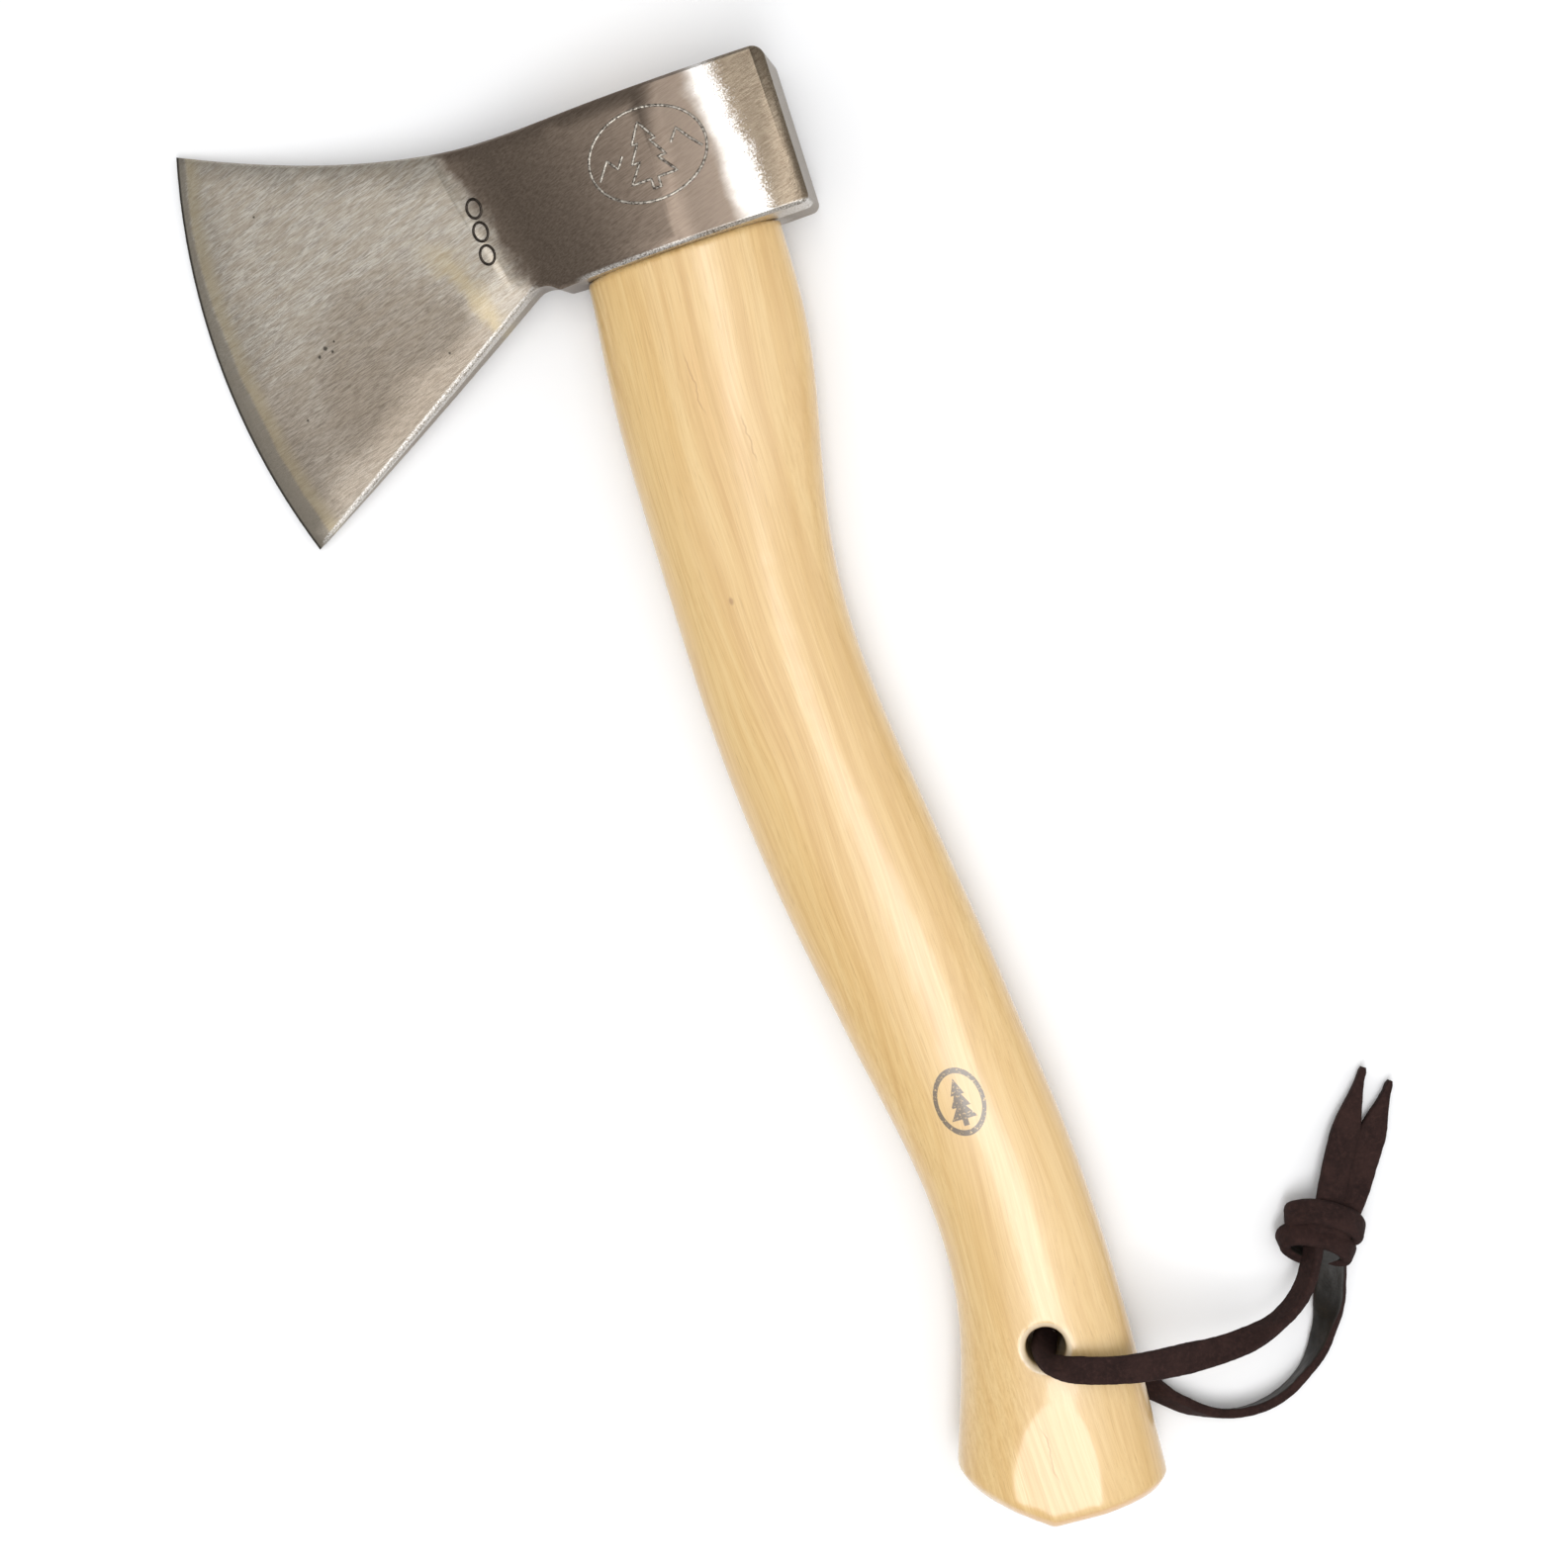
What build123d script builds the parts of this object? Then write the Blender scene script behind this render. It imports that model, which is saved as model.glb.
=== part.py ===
from build123d import *
import math
import os

# A wooden-handled hatchet with a leather wrist thong, in millimetres.
# The hard pieces are built in the tool's own axes: origin at the middle of the eye, +X to the poll,
# +Y to the top of the head, and Z across the head, which is the same on both sides of Z = 0.
# The finished tool is then laid on its side on the surface at Z = 0, where the thong lies too.

# Head
HEAD_HEIGHT = 37.6         # along the eye
HEAD_THICK = 30.0          # across the cheeks at their widest
POLL_TAPER = 2.0           # how far each cheek comes in from there to the poll face
POLL_REACH = 33.5          # middle of the eye to the poll face
POLL_CORNER_TOP = 3.0
POLL_CORNER_BOTTOM = 2.0
RIM_CHAMFER = 0.8          # broken edge around the poll and cheeks
CHEEK_PEAK_X = 2.0         # where the cheeks are widest
CREASE_X = -36.5           # where a cheek turns into the flat of the blade, level with the middle of the eye
CREASE_LEAN = 0.2973       # how much further forward that is for each millimetre up
CREASE_RADIUS = 45.0

# Blade
EDGE_REACH = 117.3         # middle of the eye to the furthest point of the cutting edge
EDGE_RADIUS = 165.0        # curve of the cutting edge, seen from the side
EDGE_CENTRE_Y = -4.0
TOE_RISE = 23.2            # upper end of the cutting edge above the top of the head
HEEL_DROP = 39.5           # lower end of the cutting edge below the underside
BLADE_ROOT_X = -36.0
BLADE_ROOT_THICK = 13.2
BLADE_EDGE_THICK = 1.6     # where the ground bevel takes over
BEVEL_ANGLE = 19.0         # each side of the bevel to the middle plane
EDGE_LAND = 0.1            # flat left on the sharp edge
TOP_FLAT_X = -20.0         # the top edge is straight from the poll to here, then sweeps up to the toe
TOP_SWEEP_START = 25.0     # how far past that the sweep is still level
TOP_SWEEP_TURN = 52.0      # how far past that it has risen by the next share of the toe's height
TOP_SWEEP_SHARE = 0.2
LIP_X = -29.8              # front end of the straight underside
THROAT_X = -37.2           # where the beard starts, past the small arch under the throat
THROAT_RISE = 1.5          # height of that point above the underside
ARCH_RISE = 2.2            # height of the arch above the underside
BEARD_SAG = 0.5            # how far the beard hangs below a straight line
LIP_FILLET = 1.5
THROAT_FILLET = 3.0

# Eye: a tapered oval, wider at the top, so that the wedges lock the handle in
EYE_LENGTH_BOTTOM = 43.0
EYE_LENGTH_TOP = 45.0
EYE_WIDTH_BOTTOM = 17.5
EYE_WIDTH_TOP = 20.0
EYE_SQUARENESS = 0.68
SHOULDER_FRONT = 2.7       # how far the handle stands out past the eye, under the head
SHOULDER_REAR = 3.0
SHOULDER_SIDE = 2.25

# Handle
HANDLE_LENGTH = 360.0      # top of the eye to the tip of the knob
BLANK_THICK = 29.0         # plank the handle is cut from, which leaves a flat on each side of the knob
SECTION_SQUARENESS = 0.60
KNOB_TIP_X = -7.5
KNOB_CUT_ANGLE = 37.5      # slanted cut on the front of the knob
KNOB_CHAMFER = 2.6
HOLE_X = 4.1
HOLE_FROM_TIP = 44.7       # middle of the thong's hole to the tip of the knob
HOLE_DIAMETER = 9.8
HOLE_CHAMFER = 1.0
# Sections of the handle: share of the way from the underside of the head to the tip of the knob,
# front edge, back edge and thickness. The first one, at the head, follows from the eye, and the last
# one is past the tip, which the end cuts take off.
SECTIONS = [
    (0.082, -27.0, 23.1, 22.8),
    (0.160, -28.3, 18.0, 23.6),
    (0.237, -28.8, 13.0, 24.0),
    (0.308, -29.1, 11.6, 24.0),
    (0.392, -28.4, 13.4, 24.0),
    (0.485, -25.7, 16.8, 24.0),
    (0.578, -21.4, 20.1, 23.8),
    (0.670, -16.5, 22.9, 23.6),
    (0.742, -13.8, 24.5, 23.6),
    (0.810, -14.6, 24.8, 24.2),
    (0.860, -18.0, 24.5, 26.0),
    (0.903, -22.6, 23.9, 29.0),
    (0.956, -28.4, 22.9, 31.6),
    (1.023, -34.0, 21.6, 33.0),
]

# Wedges driven into the top of the tenon
KERF_DEPTH = 25.0
KERF_WIDTH_TOP = 4.6
KERF_WIDTH_BOTTOM = 1.2
KERF_END_GAP = 1.5         # wood left at each end of the kerf, inside the eye
STEEL_WEDGE_WIDTH = 12.5   # across the kerf
STEEL_WEDGE_DEPTH = 17.0
STEEL_WEDGE_THICK = 2.6
STEEL_WEDGE_TIP = 0.4
STEEL_WEDGE_SPACING = 23.0

# Thong: one flat strip through the hole, both ends tied in one knot. Each stretch is a round tube as
# thick as the strip, and its points lie where the strip lies on the surface, in the laid-down frame.
THONG_THICK = 3.0
ARC_SHARE = 0.45           # share of the shorter run that each bend may take up
KNOT_SIZE = (21.5, 15.5, 11.6)
KNOT_AT = (118.2, -148.0, 6.0)
KNOT_TURN = -20.0
KNOT_ROUND = 4.8
MIDDLE = (44.9, -146.9, 17.2)  # inside the hole, where the two legs meet
FRONT_LEG = [
    (44.0, -146.9, 23.6), (43.9, -148.2, 30.2), (45.6, -149.8, 35.6), (50.6, -152.6, 37.9),
    (58.6, -156.0, 36.6), (67.5, -158.8, 31.2), (77.5, -161.2, 24.8), (88.0, -162.4, 19.2),
    (98.0, -161.8, 14.4), (107.2, -158.2, 10.6), (114.0, -151.0, 7.6),
]
BACK_LEG = [
    (45.8, -146.9, 10.8), (46.6, -147.3, 5.6), (48.9, -149.6, 2.3), (53.4, -154.0, 1.9),
    (59.2, -163.0, 2.2), (65.8, -174.4, 2.6), (74.2, -182.8, 2.9), (85.0, -187.2, 3.2),
    (96.4, -185.6, 3.3), (106.2, -178.8, 3.6), (112.6, -169.6, 4.3), (116.6, -160.0, 5.4),
    (119.8, -151.6, 6.0),
]
LONG_TAIL = [
    (117.5, -149.0, 6.6), (122.8, -139.6, 6.2), (128.6, -130.4, 4.0), (135.4, -121.7, 2.5),
    (141.1, -112.6, 2.0),
]
SHORT_TAIL = [
    (123.2, -150.6, 6.4), (129.8, -142.6, 6.2), (135.2, -133.8, 4.2), (140.5, -125.4, 2.6),
    (146.5, -117.7, 2.0),
]

UNDERSIDE_Y = -HEAD_HEIGHT / 2
TOP_Y = HEAD_HEIGHT / 2
TOE_Y = TOP_Y + TOE_RISE
HEEL_Y = UNDERSIDE_Y - HEEL_DROP
KNOB_Y = TOP_Y - HANDLE_LENGTH
HOLE_Y = KNOB_Y + HOLE_FROM_TIP
EDGE_CENTRE_X = EDGE_RADIUS - EDGE_REACH
BLADE_SLOPE = (BLADE_ROOT_THICK - BLADE_EDGE_THICK) / 2 / (EDGE_REACH + BLADE_ROOT_X)
PAST = 5.0                 # how far cutting tools run past what they cut
FAR_PAST = 15.0            # the same where a slanted cut follows
SAME = 0.01                # points nearer than this are the same


def edge_point(y):
    """Point of the cutting edge's arc at height y."""
    return EDGE_CENTRE_X - math.sqrt(EDGE_RADIUS**2 - (y - EDGE_CENTRE_Y) ** 2), y


def blade_half(x):
    """Half the blade's thickness at x, on its flats."""
    return BLADE_EDGE_THICK / 2 + BLADE_SLOPE * (x + EDGE_REACH)


def crease_x(y):
    """Where a cheek turns into the flat of the blade at height y."""
    return CREASE_X - CREASE_LEAN * y


def arc_radius(run, drop):
    """Radius of an arc that starts level and drops by drop over run."""
    return (run**2 + drop**2) / (2 * drop)


def head_outline():
    """Side view of the head. The blade runs past the cutting edge, which bevel_limit() cuts."""
    toe = Vector(*edge_point(TOE_Y))
    heel = Vector(*edge_point(HEEL_Y))
    throat = Vector(THROAT_X, UNDERSIDE_Y + THROAT_RISE)
    sweep = toe.Y - TOP_Y
    rise = [(TOP_FLAT_X, TOP_Y), (TOP_FLAT_X - TOP_SWEEP_START, TOP_Y)]
    rise.append((TOP_FLAT_X - TOP_SWEEP_TURN, TOP_Y + TOP_SWEEP_SHARE * sweep))
    top = Bezier(*rise, (toe.X, toe.Y))
    arch_top = ((LIP_X + THROAT_X) / 2, UNDERSIDE_Y + ARCH_RISE)
    arch = ThreePointArc((LIP_X, UNDERSIDE_Y), arch_top, throat)
    beard = ThreePointArc(throat, (throat + heel) * 0.5 + Vector(0, -BEARD_SAG), heel)
    past_toe = toe + (top % 1) * FAR_PAST
    past_heel = heel + (beard % 1) * FAR_PAST
    corners = [past_toe, past_heel, beard @ 1]
    rear = [(LIP_X, UNDERSIDE_Y), (POLL_REACH, UNDERSIDE_Y), (POLL_REACH, TOP_Y), (TOP_FLAT_X, TOP_Y)]
    lines = Polyline(toe, *corners).edges() + Polyline(*rear).edges()
    side = Face(Wire([top, beard, arch, *lines]))
    side = fillet(near(side.vertices(), POLL_REACH, TOP_Y), POLL_CORNER_TOP)
    side = fillet(near(side.vertices(), POLL_REACH, UNDERSIDE_Y), POLL_CORNER_BOTTOM)
    side = fillet(near(side.vertices(), LIP_X, UNDERSIDE_Y), LIP_FILLET)
    return fillet(near(side.vertices(), throat.X, throat.Y), THROAT_FILLET)


def near(vertices, x, y):
    """The vertices at (x, y)."""
    return [v for v in vertices if math.hypot(v.X - x, v.Y - y) < SAME]


def head_section(y):
    """The head cut across at height y: convex cheeks that turn into a flat wedge at the crease."""
    crease = crease_x(y)
    peak = HEAD_THICK / 2
    front_radius = arc_radius(CHEEK_PEAK_X - crease, peak - blade_half(crease))
    rear_radius = arc_radius(POLL_REACH - CHEEK_PEAK_X, POLL_TAPER)
    front_x = -EDGE_REACH - PAST
    rear_x = POLL_REACH + PAST

    def cheek(x, radius):
        return peak - radius + math.sqrt(radius**2 - (x - CHEEK_PEAK_X) ** 2)

    def half(side):
        flat = Line((front_x, side * blade_half(front_x)), (crease, side * blade_half(crease)))
        points = []
        for start, end, radius in ((crease, CHEEK_PEAK_X, front_radius), (CHEEK_PEAK_X, rear_x, rear_radius)):
            xs = (start, (start + end) / 2, end)
            points.append([(x, side * cheek(x, radius)) for x in xs])
        return [flat, ThreePointArc(*points[0]), ThreePointArc(*points[1])]

    front = Line((front_x, -blade_half(front_x)), (front_x, blade_half(front_x)))
    rear = Line((rear_x, -cheek(rear_x, rear_radius)), (rear_x, cheek(rear_x, rear_radius)))
    across = Face(Wire([*half(1), *half(-1), front, rear]))
    creases = near(across.vertices(), crease, blade_half(crease))
    creases += near(across.vertices(), crease, -blade_half(crease))
    across = fillet(creases, CREASE_RADIUS)
    return Plane(origin=(0, y, 0), x_dir=(1, 0, 0), z_dir=(0, -1, 0)) * across


def bevel_limit():
    """Cone that grinds both sides of the cutting edge and gives the edge its curve."""
    rise = HEAD_THICK
    inner = EDGE_RADIUS - (rise - EDGE_LAND / 2) / math.tan(math.radians(BEVEL_ANGLE))
    points = [(0, 0, rise), (inner, 0, rise), (EDGE_RADIUS, 0, EDGE_LAND / 2)]
    points += [(x, y, -z) for x, y, z in reversed(points)]
    profile = Face(Wire(Polyline(*points, close=True).edges()))
    return Pos(EDGE_CENTRE_X, EDGE_CENTRE_Y, 0) * revolve(profile, Axis.Z)


def oval(y, front, back, thick, squareness):
    """A section of the handle or of the eye at height y, from four curves that meet square."""
    middle = (front + back) / 2
    half = (back - front) / 2
    quarter = [(1, 0), (1, squareness), (squareness, 1), (0, 1)]
    curves = []
    for turn in range(4):
        points = [(middle + u * half, y, v * thick / 2) for u, v in quarter]
        curves.append(Bezier(*points))
        quarter = [(-v, u) for u, v in quarter]
    return Face(Wire(curves))


def eye(bottom, top):
    """The tapered eye between two heights, which the tenon fills."""
    ends = []
    for y in (bottom, top):
        share = (y - UNDERSIDE_Y) / HEAD_HEIGHT
        length = EYE_LENGTH_BOTTOM + (EYE_LENGTH_TOP - EYE_LENGTH_BOTTOM) * share
        width = EYE_WIDTH_BOTTOM + (EYE_WIDTH_TOP - EYE_WIDTH_BOTTOM) * share
        ends.append(oval(y, -length / 2, length / 2, width, EYE_SQUARENESS))
    return loft(ends, ruled=True)


def make_head():
    outline = extrude(head_outline(), HEAD_THICK, both=True)
    thickness = loft([head_section(HEEL_Y - FAR_PAST), head_section(TOE_Y + FAR_PAST)], ruled=True)
    head = (outline & thickness & bevel_limit()) - eye(UNDERSIDE_Y - PAST, TOP_Y + PAST)
    poll_edges = [e for e in head.edges() if abs((e @ 0.5).X - POLL_REACH) < SAME]
    return chamfer([e for e in poll_edges if abs((e @ 0.5).Z) > SAME], RIM_CHAMFER)


def knob_limit():
    """Side view of everything above the two cuts that end the knob, as thick as the plank."""
    far = HANDLE_LENGTH
    front_rise = far * math.tan(math.radians(KNOB_CUT_ANGLE))
    points = [(KNOB_TIP_X, KNOB_Y), (far, KNOB_Y), (far, far), (KNOB_TIP_X - far, far)]
    points.append((KNOB_TIP_X - far, KNOB_Y + front_rise))
    return extrude(Face(Wire(Polyline(*points, close=True).edges())), BLANK_THICK / 2, both=True)


def knob_rim(grip):
    """Edges around the two end cuts of the knob, without the ridge between them."""
    ends = [f for f in grip.faces() if f.geom_type == GeomType.PLANE and f.normal_at(f.center()).Y < -0.5]
    edges = [e for face in ends for e in face.edges()]
    ridge = [e for e in edges if abs((e @ 0.5).X - KNOB_TIP_X) < SAME and abs((e @ 0.5).Z) < SAME]
    return [e for e in edges if e not in ridge]


def make_grip():
    """The handle below the head, with the thong's hole through the knob."""
    length = UNDERSIDE_Y - KNOB_Y
    half_eye = EYE_LENGTH_BOTTOM / 2
    shoulder = (0, -half_eye - SHOULDER_FRONT, half_eye + SHOULDER_REAR, EYE_WIDTH_BOTTOM + 2 * SHOULDER_SIDE)
    ovals = []
    for share, *sizes in [shoulder, *SECTIONS]:
        ovals.append(oval(UNDERSIDE_Y - share * length, *sizes, SECTION_SQUARENESS))
    grip = loft(ovals) & knob_limit()
    grip = chamfer(knob_rim(grip), KNOB_CHAMFER)
    grip -= Pos(HOLE_X, HOLE_Y, 0) * Cylinder(HOLE_DIAMETER / 2, 2 * BLANK_THICK)
    wall = HOLE_DIAMETER / 2 + SAME
    mouths = [e for e in grip.edges() if math.hypot((e @ 0.3).X - HOLE_X, (e @ 0.3).Y - HOLE_Y) < wall]
    return chamfer([e for e in mouths if e.geom_type != GeomType.LINE], HOLE_CHAMFER)


def wedge(length, depth, thick_top, thick_bottom, across):
    """A wedge flush with the top of the eye: across=True turns its length from X to Z."""
    points = [(-thick_top / 2, TOP_Y), (thick_top / 2, TOP_Y)]
    points += [(thick_bottom / 2, TOP_Y - depth), (-thick_bottom / 2, TOP_Y - depth)]
    blade = extrude(Face(Wire(Polyline(*points, close=True).edges())), length / 2, both=True)
    return blade if across else Rot(0, 90, 0) * blade


def make_wedges():
    """The wooden kerf wedge along the eye and the two steel wedges across it."""
    kerf_length = min(EYE_LENGTH_BOTTOM, EYE_LENGTH_TOP) - 2 * KERF_END_GAP
    kerf = wedge(kerf_length, KERF_DEPTH, KERF_WIDTH_TOP, KERF_WIDTH_BOTTOM, across=False)
    steel = wedge(STEEL_WEDGE_WIDTH, STEEL_WEDGE_DEPTH, STEEL_WEDGE_THICK, STEEL_WEDGE_TIP, across=True)
    front = Pos(-STEEL_WEDGE_SPACING / 2, 0, 0) * steel
    rear = Pos(STEEL_WEDGE_SPACING / 2, 0, 0) * steel
    return kerf, front, rear


def rest_roll():
    """How far the tool rolls on its side until a cheek and the cutting edge both touch the surface."""
    crease = crease_x(TOP_Y)
    drop = HEAD_THICK / 2 - blade_half(crease)
    radius = arc_radius(CHEEK_PEAK_X - crease, drop)
    along = EDGE_REACH + CHEEK_PEAK_X
    down = radius - HEAD_THICK / 2
    return math.degrees(math.asin(radius / math.hypot(along, down)) - math.atan2(down, along))


def laid_down(head, handle):
    """Placement on the surface, with the origin under the middle of the head and handle."""
    rolled = Rot(0, -rest_roll(), 0)
    box = Compound(children=[rolled * head, rolled * handle]).bounding_box()
    return Pos(-box.center().X, -box.center().Y, -box.min.Z) * rolled


def thong_tube(name, points):
    """A stretch of the thong: straight runs joined by the largest arcs that the runs allow."""
    points = [Vector(*p) for p in points]
    radii = []
    for before, corner, after in zip(points, points[1:], points[2:]):
        run_in = corner - before
        run_out = after - corner
        half_turn = math.radians(run_in.get_angle(run_out)) / 2
        radii.append(ARC_SHARE * min(run_in.length, run_out.length) / math.tan(half_turn))
    path = FilletPolyline(*points, radius=radii)
    section = Plane(origin=path @ 0, z_dir=path % 0) * Circle(THONG_THICK / 2)
    tube = sweep(section, path=path)
    by_length = math.pi * THONG_THICK**2 / 4 * path.length
    print(name, "length", round(path.length, 1), "radii", [round(r, 1) for r in radii])
    print(name, "volume", round(tube.volume, 1), "section times length", round(by_length, 1))
    return tube


def make_thong():
    """The two legs from the middle of the hole, the knot and the two tails."""
    knot = Box(*KNOT_SIZE)
    knot = Pos(*KNOT_AT) * Rot(0, 0, KNOT_TURN) * fillet(knot.edges(), KNOT_ROUND)
    nodes = {"thong_knot": knot}
    routes = {
        "thong_front_leg": [MIDDLE, *FRONT_LEG],
        "thong_back_leg": [MIDDLE, *BACK_LEG],
        "thong_tail_long": LONG_TAIL,
        "thong_tail_short": SHORT_TAIL,
    }
    for name, route in routes.items():
        nodes[name] = thong_tube(name, route) - knot
    return nodes


def main():
    kerf, front, rear = make_wedges()
    head = make_head()
    tenon = eye(UNDERSIDE_Y, TOP_Y) - kerf - front - rear
    handle = make_grip() + tenon
    kerf = kerf - front - rear
    place = laid_down(head, handle)
    hard = {"axe_head": head, "handle": handle, "kerf_wedge": kerf}
    hard |= {"steel_wedge_front": front, "steel_wedge_rear": rear}
    nodes = {name: place * solid for name, solid in hard.items()}
    hole_middle = (place * Pos(HOLE_X, HOLE_Y, 0)).position
    nodes |= make_thong()
    print("rolled by", round(rest_roll(), 3), "degrees; middle of the hole at", hole_middle)
    os.makedirs("parts", exist_ok=True)
    for name, solid in nodes.items():
        export_step(solid, f"parts/{name}.step")


main()
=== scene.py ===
import math
import random

import bmesh
import bpy
from mathutils import Matrix, Vector
from mathutils.bvhtree import BVHTree


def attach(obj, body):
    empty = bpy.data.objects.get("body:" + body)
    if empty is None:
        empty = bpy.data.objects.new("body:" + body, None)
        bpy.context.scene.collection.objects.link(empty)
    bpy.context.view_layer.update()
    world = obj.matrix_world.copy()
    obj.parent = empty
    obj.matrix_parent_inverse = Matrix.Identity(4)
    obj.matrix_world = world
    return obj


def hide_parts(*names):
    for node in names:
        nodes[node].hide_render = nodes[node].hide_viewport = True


# A hatchet lying on a pale table: forged head, lacquered handle, knotted leather thong. Metres throughout.

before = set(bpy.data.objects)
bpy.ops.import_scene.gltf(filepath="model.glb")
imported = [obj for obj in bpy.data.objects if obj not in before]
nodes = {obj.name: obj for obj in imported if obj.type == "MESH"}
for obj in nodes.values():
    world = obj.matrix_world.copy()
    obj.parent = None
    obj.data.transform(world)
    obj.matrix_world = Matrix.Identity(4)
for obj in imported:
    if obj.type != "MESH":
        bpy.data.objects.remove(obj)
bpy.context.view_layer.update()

# The tool's own axes: origin at the middle of the eye, +X to the poll, +Y to the top of the head.
# It lies rolled on its side, so patterns that follow the tool are turned with it.
tool = {"middle": (0.040718, 0.1496, 0.016336), "roll": math.radians(7.652)}


view = {
    "right": (0.9517, -0.30689, 0.00966), "up": (0.30647, 0.94753, -0.09093), "back": (0.01875, 0.0895, 0.99581),
    "place": (0.0359, 0.05611, 0.61409), "lens": 56.78, "sensor": 36,
}


def addCamera():
    data = bpy.data.cameras.new("viewCamera")
    data.lens = view["lens"]
    data.sensor_width = view["sensor"]
    data.clip_start = 0.01
    camera = bpy.data.objects.new("viewCamera", data)
    turn = Matrix((view["right"], view["up"], view["back"])).transposed().to_4x4()
    camera.matrix_world = Matrix.Translation(view["place"]) @ turn
    bpy.context.scene.collection.objects.link(camera)
    bpy.context.scene.camera = camera


addCamera()
print("camera in place")


# Small helpers for building node trees

def plug(tree, socket, value):
    if isinstance(value, bpy.types.NodeSocket):
        tree.links.new(value, socket)
    else:
        socket.default_value = value


def add(tree, kind, inputs=None, **settings):
    node = tree.nodes.new(kind)
    for name, value in settings.items():
        setattr(node, name, value)
    for name, value in (inputs or {}).items():
        plug(tree, node.inputs[name], value)
    return node


def calc(tree, operation, a, b=0.0, c=0.0):
    return add(tree, "ShaderNodeMath", {0: a, 1: b, 2: c}, operation=operation).outputs[0]


def times(tree, a, b):
    return calc(tree, "MULTIPLY", a, b)


def minus(tree, a, b):
    return calc(tree, "SUBTRACT", a, b)


def timesPlus(tree, a, b, c):
    return calc(tree, "MULTIPLY_ADD", a, b, c)


def most(tree, values):
    largest = values[0]
    for value in values[1:]:
        largest = calc(tree, "MAXIMUM", largest, value)
    return largest


def vec(tree, operation, a, b=None, out=0):
    inputs = {0: a}
    if b is not None:
        inputs["Scale" if operation == "SCALE" else 1] = b
    return add(tree, "ShaderNodeVectorMath", inputs, operation=operation).outputs[out]


def stretch(tree, place, factors):
    return vec(tree, "MULTIPLY", place, factors)


def fromAbove(tree, place):
    # The place without its height, for patterns drawn from above
    return stretch(tree, place, (1.0, 1.0, 0.0))


def distance(tree, a, b):
    return vec(tree, "DISTANCE", a, b, out=1)


def blend(tree, factor, a, b):
    node = add(tree, "ShaderNodeMix", data_type="RGBA", blend_type="MIX", clamp_factor=True)
    for index, value in ((0, factor), (6, a), (7, b)):
        plug(tree, node.inputs[index], value)
    return node.outputs[2]


def fade(tree, value, low, high, outLow=0.0, outHigh=1.0):
    inputs = {0: value, 1: low, 2: high, 3: outLow, 4: outHigh}
    return add(tree, "ShaderNodeMapRange", inputs, interpolation_type="SMOOTHSTEP").outputs[0]


def noiseOf(tree, vector, scale, detail, rough, out=0):
    inputs = {"Vector": vector, "Scale": scale, "Detail": detail, "Roughness": rough}
    return add(tree, "ShaderNodeTexNoise", inputs).outputs[out]


def cellsOf(tree, vector, scale):
    # How far each place is from the nearest of many scattered points
    return add(tree, "ShaderNodeTexVoronoi", {"Vector": vector, "Scale": scale}).outputs["Distance"]


def ramp(tree, value, stops):
    node = add(tree, "ShaderNodeValToRGB", {0: value})
    elements = node.color_ramp.elements
    while len(elements) < len(stops):
        elements.new(0.5)
    for element, (position, colour) in zip(elements, stops):
        element.position = position
        element.color = (*colour, 1)
    return node.outputs[0]


def newGroup(name, inputs, outputs):
    group = bpy.data.node_groups.new(name, "ShaderNodeTree")
    for label, kind, value in inputs:
        socket = group.interface.new_socket(label, in_out="INPUT", socket_type="NodeSocket" + kind)
        if value is not None:
            socket.default_value = value
    for label, kind in outputs:
        group.interface.new_socket(label, in_out="OUTPUT", socket_type="NodeSocket" + kind)
    return group, group.nodes.new("NodeGroupInput"), group.nodes.new("NodeGroupOutput")


def useGroup(tree, group, **inputs):
    node = tree.nodes.new("ShaderNodeGroup")
    node.node_tree = group
    for name, value in inputs.items():
        plug(tree, node.inputs[name], value)
    return node


def newMaterial(name):
    material = bpy.data.materials.new(name)
    material.use_nodes = True
    tree = material.node_tree
    tree.nodes.clear()
    shader = tree.nodes.new("ShaderNodeBsdfPrincipled")
    output = tree.nodes.new("ShaderNodeOutputMaterial")
    tree.links.new(shader.outputs[0], output.inputs[0])
    return material, tree, shader


def bump(tree, height, strength, distance, normal=None):
    node = add(tree, "ShaderNodeBump", {"Height": height, "Strength": strength, "Distance": distance})
    if normal is not None:
        plug(tree, node.inputs["Normal"], normal)
    return node.outputs[0]


def toolSpace(tree):
    # Position along the tool's own axes, in millimetres
    place = add(tree, "ShaderNodeMapping", {
        "Vector": add(tree, "ShaderNodeTexCoord").outputs["Object"],
        "Location": tool["middle"], "Rotation": (0, -tool["roll"], 0),
    }, vector_type="TEXTURE")
    return vec(tree, "SCALE", place.outputs[0], 1000.0)


# Thong: one flat leather strip, through the hole and tied
thong = {
    "width": 0.0063, "thick": 0.0024, "corner": 0.0007, "cornerSteps": 4, "sectionPoints": 44,
    "ragged": 0.00022, "raggedScale": 420.0, "slot": "thong_leather",
    "suede": [(0.25, (0.010, 0.0045, 0.0040)), (0.52, (0.021, 0.0092, 0.0080)), (0.82, (0.050, 0.024, 0.020))],
    "suedePatch": (0.040, 0.0185, 0.0155, 1),
    "grain": [(0.3, (0.007, 0.0062, 0.0052)), (0.8, (0.022, 0.018, 0.0145))],
}

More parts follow.
